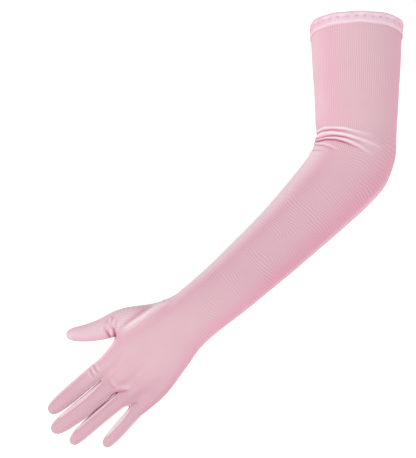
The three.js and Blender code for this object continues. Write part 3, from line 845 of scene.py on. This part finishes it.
def pucker_hem(band):
    """Draw the band in where it is stitched, with small gathers that run from the stitches."""
    along, across, back = (np.array(axis) for axis in arm_axes(0))
    mesh = band.data
    places, normals = vertex_places(mesh)
    down = places @ along
    right, towards = places @ across, places @ back
    angle = np.arctan2(towards / OPENING_SIZE[1], right / OPENING_SIZE[0])
    outward = np.stack([right, towards], axis=1) / np.hypot(right, towards)[:, None]
    facing = (normals @ across) * outward[:, 0] + (normals @ back) * outward[:, 1]
    outer = soft_edge(facing, 0.1, 0.6)
    height = hem_height(angle)
    share = (down - hem_sag(angle)) / height
    phase = angle / math.tau * PUCKERS + 0.12 * np.sin(5 * angle)
    beside = (phase - np.round(phase)) * HEM_GIRTH / PUCKERS
    above = (share - PUCKER_PLACE) * height
    pucker = np.exp(-((beside / 1.5) ** 2) - (above / 0.9) ** 2)
    gather = np.exp(-((beside / 2.2) ** 2) - (above / 3.4) ** 2)
    edge_row = np.exp(-(((share - 0.9) * height / 0.5) ** 2)) * (0.5 + 0.5 * np.cos(phase * 4 * math.tau))
    relief = -0.5 * pucker - 0.25 * gather - 0.12 * edge_row
    gathers = np.sin(phase * math.pi + 2 * np.sin(angle * 2))
    relief += 0.14 * gathers * np.exp(-(((share - 0.2) / 0.25) ** 2))
    places += normals * (relief * outer)[:, None]
    mesh.vertices.foreach_set("co", (places * MM).ravel())
    # Painted shade in the puckers, in the dents of the stitch row and along the top edge
    crease_shade = np.clip((0.62 + 0.2 * np.sin(2.4 * phase)) * pucker + 0.35 * edge_row, 0, 1) * outer
    crease_shade = np.maximum(crease_shade, 0.5 * np.exp(-((share / 0.12) ** 2)) * outer)
    # Painted highlights on the lip and on the gathers below the top edge
    lip = 0.5 * np.exp(-(((share - 0.84) / 0.12) ** 2)) * outer
    fold = 0.5 * np.exp(-(((share - 0.24) / 0.08) ** 2)) * (0.5 + 0.5 * np.sin(phase * math.pi)) * outer
    # The band is a deeper pink at its sides than at its front and back
    stretch = soft_edge(np.abs(np.sin(angle)), 0.25, 0.95)
    highlight = np.maximum(lip, fold) * (1 - crease_shade)
    for name, values in (("crease_shade", crease_shade), ("highlight", highlight), ("stretch", stretch)):
        mesh.attributes.new(name, "FLOAT", "POINT").data.foreach_set("value", values)
    mesh.update()


hem = build_hem()
pucker_hem(hem)


# Stitches

def stitch_tree():
    """Row of stitches along a seam: bars across it or along it, a set distance apart."""
    tree = bpy.data.node_groups.new("stitch row", "GeometryNodeTree")
    sockets = tree.interface
    sockets.new_socket("Seam", in_out="INPUT", socket_type="NodeSocketGeometry")
    for label, value in (("Distance", 0.002), ("Length", 0.0015), ("Width", 0.0005), ("Turn", 0.0),
                         ("Unevenness", 0.15)):
        socket = sockets.new_socket(label, in_out="INPUT", socket_type="NodeSocketFloat")
        socket.default_value = value
    sockets.new_socket("Thread", in_out="INPUT", socket_type="NodeSocketMaterial")
    sockets.new_socket("Stitches", in_out="OUTPUT", socket_type="NodeSocketGeometry")
    nodes, links = tree.nodes, tree.links

    def node(kind, **values):
        made = nodes.new(kind)
        for key, value in values.items():
            setattr(made, key, value)
        return made

    seam = node("NodeGroupInput")
    result = node("NodeGroupOutput")
    curve = node("GeometryNodeMeshToCurve")
    links.new(seam.outputs["Seam"], curve.inputs["Mesh"])
    points = node("GeometryNodeCurveToPoints", mode="LENGTH")
    links.new(curve.outputs["Curve"], points.inputs["Curve"])
    links.new(seam.outputs["Distance"], points.inputs["Length"])
    outward = node("GeometryNodeInputNamedAttribute", data_type="FLOAT_VECTOR")
    outward.inputs["Name"].default_value = "outward"
    stand = node("FunctionNodeAlignEulerToVector", axis="Z")
    links.new(outward.outputs["Attribute"], stand.inputs["Vector"])
    run = node("FunctionNodeAlignEulerToVector", axis="X", pivot_axis="Z")
    links.new(stand.outputs["Rotation"], run.inputs["Rotation"])
    links.new(points.outputs["Tangent"], run.inputs["Vector"])
    chance = node("FunctionNodeRandomValue", data_type="FLOAT")
    chance.inputs[2].default_value = -0.5
    chance.inputs[3].default_value = 0.5
    chance.inputs["Seed"].default_value = 7
    wobble = node("ShaderNodeMath", operation="MULTIPLY_ADD")
    links.new(chance.outputs[1], wobble.inputs[0])
    links.new(seam.outputs["Unevenness"], wobble.inputs[1])
    links.new(seam.outputs["Turn"], wobble.inputs[2])
    swing = node("ShaderNodeCombineXYZ")
    links.new(wobble.outputs[0], swing.inputs["Z"])
    turned = node("FunctionNodeRotateEuler", rotation_type="EULER", space="LOCAL")
    links.new(run.outputs["Rotation"], turned.inputs["Rotation"])
    links.new(swing.outputs[0], turned.inputs["Rotate By"])
    bar = node("GeometryNodeMeshUVSphere")
    bar.inputs["Segments"].default_value = 6
    bar.inputs["Rings"].default_value = 4
    bar.inputs["Radius"].default_value = 0.5
    size = node("ShaderNodeCombineXYZ")
    links.new(seam.outputs["Length"], size.inputs["X"])
    links.new(seam.outputs["Width"], size.inputs["Y"])
    links.new(seam.outputs["Width"], size.inputs["Z"])
    placed = node("GeometryNodeInstanceOnPoints")
    links.new(points.outputs["Points"], placed.inputs["Points"])
    links.new(bar.outputs["Mesh"], placed.inputs["Instance"])
    links.new(turned.outputs["Rotation"], placed.inputs["Rotation"])
    links.new(size.outputs[0], placed.inputs["Scale"])
    real = node("GeometryNodeRealizeInstances")
    links.new(placed.outputs["Instances"], real.inputs["Geometry"])
    thread = node("GeometryNodeSetMaterial")
    links.new(real.outputs["Geometry"], thread.inputs["Geometry"])
    links.new(seam.outputs["Thread"], thread.inputs["Material"])
    links.new(thread.outputs["Geometry"], result.inputs["Stitches"])
    return tree


def stitch_row(name, lines, thread, distance, length, width, turn, unevenness=0.15):
    """Stitches along lines of (place, outward) points, as one plain mesh."""
    mesh = bmesh.new()
    layer = mesh.verts.layers.float_vector.new("outward")
    for line in lines:
        last = None
        for place, outward in line:
            vert = mesh.verts.new(place * MM)
            vert[layer] = outward
            if last:
                mesh.edges.new((last, vert))
            last = vert
    data = bpy.data.meshes.new(name)
    mesh.to_mesh(data)
    mesh.free()
    row = new_object(name, data)
    modifier = row.modifiers.new("stitches", "NODES")
    modifier.node_group = STITCHES
    values = {"Distance": distance, "Length": length, "Width": width, "Turn": turn,
              "Unevenness": unevenness, "Thread": thread}
    for item in STITCHES.interface.items_tree:
        if item.in_out == "INPUT" and item.name in values:
            modifier[item.identifier] = values[item.name]
    finished_mesh(row)
    for face in row.data.polygons:
        face.use_smooth = True
    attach(row, "root")
    return row


STITCHES = stitch_tree()


# Materials: distances between the knit's lines in metres, and the tones that the lines and the
# lower part of the glove give the cloth
WALE_PITCH = 0.002
COURSE_PITCH = 0.0025
MESH_PITCH = 0.0007
LINE_DARK = (0.86, 0.78, 0.81)
LINE_LIGHT = (1.06, 1.1, 1.09)
LOWER_TONE = (0.92, 0.88, 0.90)


def add_node(tree, kind, values=None, **settings):
    node = tree.nodes.new(kind)
    for key, value in settings.items():
        setattr(node, key, value)
    for key, value in (values or {}).items():
        node.inputs[key].default_value = value
    return node


def attribute(tree, name):
    return add_node(tree, "ShaderNodeAttribute", attribute_name=name).outputs["Fac"]


def calc(tree, operation, a, b=None, c=None):
    node = add_node(tree, "ShaderNodeMath", operation=operation)
    for socket, value in zip(node.inputs, (a, b, c)):
        if value is None:
            continue
        if isinstance(value, (int, float)):
            socket.default_value = value
        else:
            tree.links.new(value, socket)
    return node.outputs[0]


def blend_colour(tree, share, first, second, blend_type="MIX"):
    node = add_node(tree, "ShaderNodeMix", data_type="RGBA", blend_type=blend_type)
    for name, value in (("Factor", share), ("A", first), ("B", second)):
        socket = node.inputs[name]
        if isinstance(value, tuple):
            socket.default_value = (*value, 1)
        elif isinstance(value, (int, float)):
            socket.default_value = value
        else:
            tree.links.new(value, socket)
    return node.outputs["Result"]


def lines_in_net(tree, weave, direction, pitch):
    """Fine parallel lines on the cloth, as a wave of the given pitch in metres."""
    node = add_node(
        tree, "ShaderNodeTexWave", {"Scale": math.tau / (20 * pitch)},
        wave_type="BANDS", bands_direction=direction,
    )
    tree.links.new(weave, node.inputs["Vector"])
    return node.outputs["Fac"]


def soft_noise(tree, vector, scale, detail=2.0):
    node = add_node(tree, "ShaderNodeTexNoise", {"Scale": scale, "Detail": detail})
    tree.links.new(vector, node.inputs["Vector"])
    return node.outputs["Fac"]


def net_material(name, side_colour, front_colour, crease_shade_colour, pale, sheen, line_strength):
    """Stretch net: deeper pink to the sides and paler to the front as the stretch attribute gives (partly
    painted shade), with painted shade in creases, painted highlights and lines of the knit.
    """
    material = bpy.data.materials.new(name)
    material.use_nodes = True
    tree = material.node_tree
    shader = tree.nodes["Principled BSDF"]
    coordinates = add_node(tree, "ShaderNodeTexCoord")
    uv_map = add_node(tree, "ShaderNodeUVMap", uv_map="weave").outputs["UV"]
    place = coordinates.outputs["Object"]
    drift = add_node(tree, "ShaderNodeTexNoise", {"Scale": 42, "Detail": 1.0})
    tree.links.new(uv_map, drift.inputs["Vector"])
    drift_size = add_node(tree, "ShaderNodeVectorMath", {1: (0.003, 0.009, 0)}, operation="MULTIPLY")
    tree.links.new(drift.outputs["Color"], drift_size.inputs[0])
    weave = add_node(tree, "ShaderNodeVectorMath", operation="ADD")
    tree.links.new(uv_map, weave.inputs[0])
    tree.links.new(drift_size.outputs[0], weave.inputs[1])
    weave = weave.outputs[0]

    wales = lines_in_net(tree, weave, "X", WALE_PITCH)
    courses = lines_in_net(tree, weave, "Y", COURSE_PITCH)
    fine_wales = lines_in_net(tree, uv_map, "X", MESH_PITCH)
    fine_courses = lines_in_net(tree, uv_map, "Y", MESH_PITCH)

    height = add_node(tree, "ShaderNodeSeparateXYZ")
    tree.links.new(place, height.inputs[0])
    upper = add_node(tree, "ShaderNodeMapRange", {"From Min": -0.15, "From Max": -0.1})
    tree.links.new(height.outputs["Z"], upper.inputs["Value"])
    hand = add_node(
        tree, "ShaderNodeMapRange", {"From Min": -0.29, "From Max": -0.24, "To Min": 1, "To Max": 0}
    )
    tree.links.new(height.outputs["Z"], hand.inputs["Value"])
    fingers = add_node(
        tree, "ShaderNodeMapRange", {"From Min": -0.35, "From Max": -0.33, "To Min": 1, "To Max": 0}
    )
    tree.links.new(height.outputs["Z"], fingers.inputs["Value"])
    wale_share = calc(tree, "MULTIPLY_ADD", upper.outputs[0], 0.5, 0.35)
    course_share = calc(tree, "MULTIPLY_ADD", upper.outputs[0], -0.5, 0.62)
    on_hand = calc(tree, "MULTIPLY_ADD", hand.outputs[0], -0.6, 1.0)
    course_share = calc(tree, "MULTIPLY", course_share, on_hand)
    patches = add_node(tree, "ShaderNodeMapRange", {"From Min": 0.38, "From Max": 0.62, "To Min": 0.35})
    tree.links.new(soft_noise(tree, place, 26), patches.inputs["Value"])
    wale_lines = calc(tree, "MULTIPLY", calc(tree, "SUBTRACT", wales, 0.5), wale_share)
    course_lines = calc(tree, "MULTIPLY", calc(tree, "SUBTRACT", courses, 0.5), course_share)
    lines = calc(tree, "MULTIPLY", calc(tree, "ADD", wale_lines, course_lines), patches.outputs[0])

    mottle = calc(tree, "SUBTRACT", soft_noise(tree, place, 55, 3.0), 0.5)
    stretch = attribute(tree, "stretch")
    tone = calc(tree, "ADD", stretch, calc(tree, "MULTIPLY", mottle, 0.5))
    tone = calc(tree, "MINIMUM", calc(tree, "MAXIMUM", tone, 0.0), 1.0)
    # On the glove and side strips the side colour is partly painted shade on the outer side, away from the
    # key light
    colour = blend_colour(tree, tone, side_colour, front_colour)
    line_shade = calc(tree, "MULTIPLY_ADD", lines, line_strength, 0.5)
    line_shade = calc(tree, "MINIMUM", calc(tree, "MAXIMUM", line_shade, 0.0), 1.0)
    line_tone = blend_colour(tree, line_shade, LINE_DARK, LINE_LIGHT)
    colour = blend_colour(tree, 1.0, colour, line_tone, "MULTIPLY")
    lower = calc(tree, "SUBTRACT", calc(tree, "SUBTRACT", 1.0, upper.outputs[0]), hand.outputs[0])
    lower = calc(tree, "ADD", lower, fingers.outputs[0])
    colour = blend_colour(tree, lower, colour, blend_colour(tree, 1.0, colour, LOWER_TONE, "MULTIPLY"))
    # Painted shade: creases, puckers and the gaps between the fingers are mixed towards the crease colour
    crease_shade = attribute(tree, "crease_shade")
    deep = calc(tree, "MULTIPLY", crease_shade, 0.9)
    colour = blend_colour(tree, deep, colour, crease_shade_colour)
    # Painted highlights: fold tops, turned-away edges, the outer rim, the thumb and the hem's lip and gathers
    # go towards the pale colour
    colour = blend_colour(tree, calc(tree, "MULTIPLY", attribute(tree, "highlight"), 0.85), colour, pale)
    tree.links.new(colour, shader.inputs["Base Color"])

    relief = calc(tree, "ADD", calc(tree, "MULTIPLY", lines, 1.2), calc(tree, "MULTIPLY", fine_wales, 0.35))
    relief = calc(tree, "ADD", relief, calc(tree, "MULTIPLY", fine_courses, 0.35))
    bump = add_node(tree, "ShaderNodeBump", {"Strength": 0.35, "Distance": 0.00025})
    tree.links.new(relief, bump.inputs["Height"])
    tree.links.new(bump.outputs["Normal"], shader.inputs["Normal"])

    rough = calc(tree, "MULTIPLY_ADD", mottle, 0.2, 0.62)
    tree.links.new(rough, shader.inputs["Roughness"])
    shader.inputs["Sheen Weight"].default_value = sheen
    shader.inputs["Sheen Roughness"].default_value = 0.35
    shader.inputs["Sheen Tint"].default_value = (1.0, 0.66, 0.78, 1)
    shader.inputs["Specular IOR Level"].default_value = 0.25
    return material


def thread_material(name, colour):
    material = bpy.data.materials.new(name)
    material.use_nodes = True
    tree = material.node_tree
    shader = tree.nodes["Principled BSDF"]
    coordinates = add_node(tree, "ShaderNodeTexCoord")
    shade = soft_noise(tree, coordinates.outputs["Object"], 420)
    darker = tuple(0.8 * c for c in colour)
    tree.links.new(blend_colour(tree, shade, darker, colour), shader.inputs["Base Color"])
    shader.inputs["Roughness"].default_value = 0.5
    shader.inputs["Sheen Weight"].default_value = 0.2
    return material


# Each net: side colour, front colour, painted crease shade, painted highlight colour, sheen and line strength
net = net_material("pink stretch net", (0.76, 0.37, 0.47), (0.71, 0.47, 0.52), (0.50, 0.05, 0.12),
                   (0.91, 0.78, 0.83), 0.2, 1.0)
hem_net = net_material("doubled hem net", (0.80, 0.47, 0.58), (0.80, 0.58, 0.66), (0.50, 0.26, 0.38),
                       (0.92, 0.82, 0.87), 0.2, 0.4)
strip_net = net_material("side strip net", (0.86, 0.60, 0.67), (0.90, 0.75, 0.80), (0.50, 0.03, 0.10),
                         (0.95, 0.86, 0.90), 0.2, 0.5)
pink_thread = thread_material("pink thread", (0.86, 0.62, 0.70))
strip_thread = thread_material("pale thread", (0.90, 0.74, 0.80))


# Seams: stitches along the edges that part the cloths, and along the hem

hem.data.materials.append(hem_net)
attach(hem, "root")
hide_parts("top_hem")

for name, piece in cloths.items():
    piece.data.materials.clear()
    piece.data.materials.append(strip_net if name.startswith("fourchette") else net)
    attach(piece, "root")
    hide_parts(name)


def around_hem(share, proud, count=240):
    line = []
    for s in range(count + 1):
        angle = s / count * math.tau
        down = hem_sag(angle) + share * hem_height(angle)
        place = sleeve_point(angle, down, proud)
        line.append((place, (place - sleeve_point(angle, down, -5)).normalized()))
    return line


def seam_lines(first, second, lift):
    """Chains of (place, outward) points where two cloths meet, a little above the cloth."""
    mesh = bmesh.new()
    mesh.from_mesh(seam_mesh)
    nearby = {}
    for edge in mesh.edges:
        if {face.material_index for face in edge.link_faces} == {first, second}:
            for vert, other in (edge.verts, reversed(edge.verts)):
                nearby.setdefault(vert, []).append(other)
    lines = []
    while nearby:
        ends = [vert for vert, others in nearby.items() if len(others) == 1]
        vert = ends[0] if ends else next(iter(nearby))
        line = [vert]
        while vert in nearby:
            others = nearby.pop(vert)
            vert = next((other for other in others if other in nearby), None)
            if vert is not None:
                line.append(vert)
        lines.append([(v.co / MM + v.normal * lift, v.normal.copy()) for v in line])
    mesh.free()
    return lines


stitch_row(
    "thumb_seam_stitches", seam_lines(TRANK, THUMB, 0.05), pink_thread, 0.0019, 0.0013, 0.0004, 1.2
)
for f, name in enumerate(CLOTHS[FIRST_STRIP:]):
    stitch_row(
        name + "_stitches", seam_lines(TRANK, FIRST_STRIP + f, 0.05), strip_thread,
        0.0021, 0.0015, 0.00045, 1.25,
    )
stitch_row("hem_stitches", [around_hem(0.9, 0.88)], pink_thread, 0.0022, 0.0012, 0.0004, 0.0)


# Camera, room and lights

def add_camera():
    data = bpy.data.cameras.new("camera")
    data.sensor_width = 36
    data.lens = 132.4
    data.clip_end = 50
    camera = new_object("camera", data)
    camera.location = (-0.1432, -1.63, -0.1979)
    camera.rotation_euler = (math.pi / 2, 0, 0)
    bpy.context.scene.camera = camera


def add_room():
    """Pale floor that curves up into a round wall."""
    profile = [(0.0, 0.0), (2.6, 0.0)]
    for step in range(1, 13):
        turn = step / 12 * math.pi / 2
        profile.append((2.6 + 1.4 * math.sin(turn), 1.4 - 1.4 * math.cos(turn)))
    profile.append((4.0, 3.4))
    sides = 96
    mesh = bmesh.new()
    rings = []
    for radius, height in profile[1:]:
        rings.append([
            mesh.verts.new((radius * math.cos(s / sides * math.tau) - 0.14,
                            radius * math.sin(s / sides * math.tau), height - 0.46))
            for s in range(sides)
        ])
    mesh.faces.new(rings[0])
    for low, high in zip(rings, rings[1:]):
        for s in range(sides):
            t = (s + 1) % sides
            mesh.faces.new((low[s], high[s], high[t], low[t])).smooth = True
    data = bpy.data.meshes.new("room")
    mesh.to_mesh(data)
    mesh.free()
    room = new_object("room", data)
    paper = bpy.data.materials.new("white paper")
    paper.use_nodes = True
    shader = paper.node_tree.nodes["Principled BSDF"]
    shader.inputs["Base Color"].default_value = (0.93, 0.93, 0.93, 1)
    shader.inputs["Roughness"].default_value = 0.9
    shader.inputs["Emission Color"].default_value = (1, 1, 1, 1)
    shader.inputs["Emission Strength"].default_value = 0.35
    data.materials.append(paper)


def add_light(name, place, target, size, power, colour=(1, 1, 1)):
    data = bpy.data.lights.new(name, "AREA")
    data.size = size
    data.energy = power
    data.color = colour
    light = new_object(name, data)
    light.location = place
    light.rotation_euler = (Vector(target) - Vector(place)).to_track_quat("-Z", "Y").to_euler()
    light.visible_camera = False


add_camera()
add_room()
add_light("key light", (-1.9, -1.3, 1.2), (-0.1, 0, -0.2), 0.9, 17)
add_light("fill light", (0.9, -2.1, 0.4), (-0.1, 0, -0.2), 1.2, 3.5)
add_light("back light", (0.6, 1.7, 1.2), (-0.1, 0, -0.2), 1.2, 4)

world = bpy.data.worlds.new("world")
bpy.context.scene.world = world
world.use_nodes = True
world.node_tree.nodes["Background"].inputs["Color"].default_value = (1, 1, 1, 1)
world.node_tree.nodes["Background"].inputs["Strength"].default_value = 0.3
bpy.context.scene.view_settings.view_transform = "Standard"
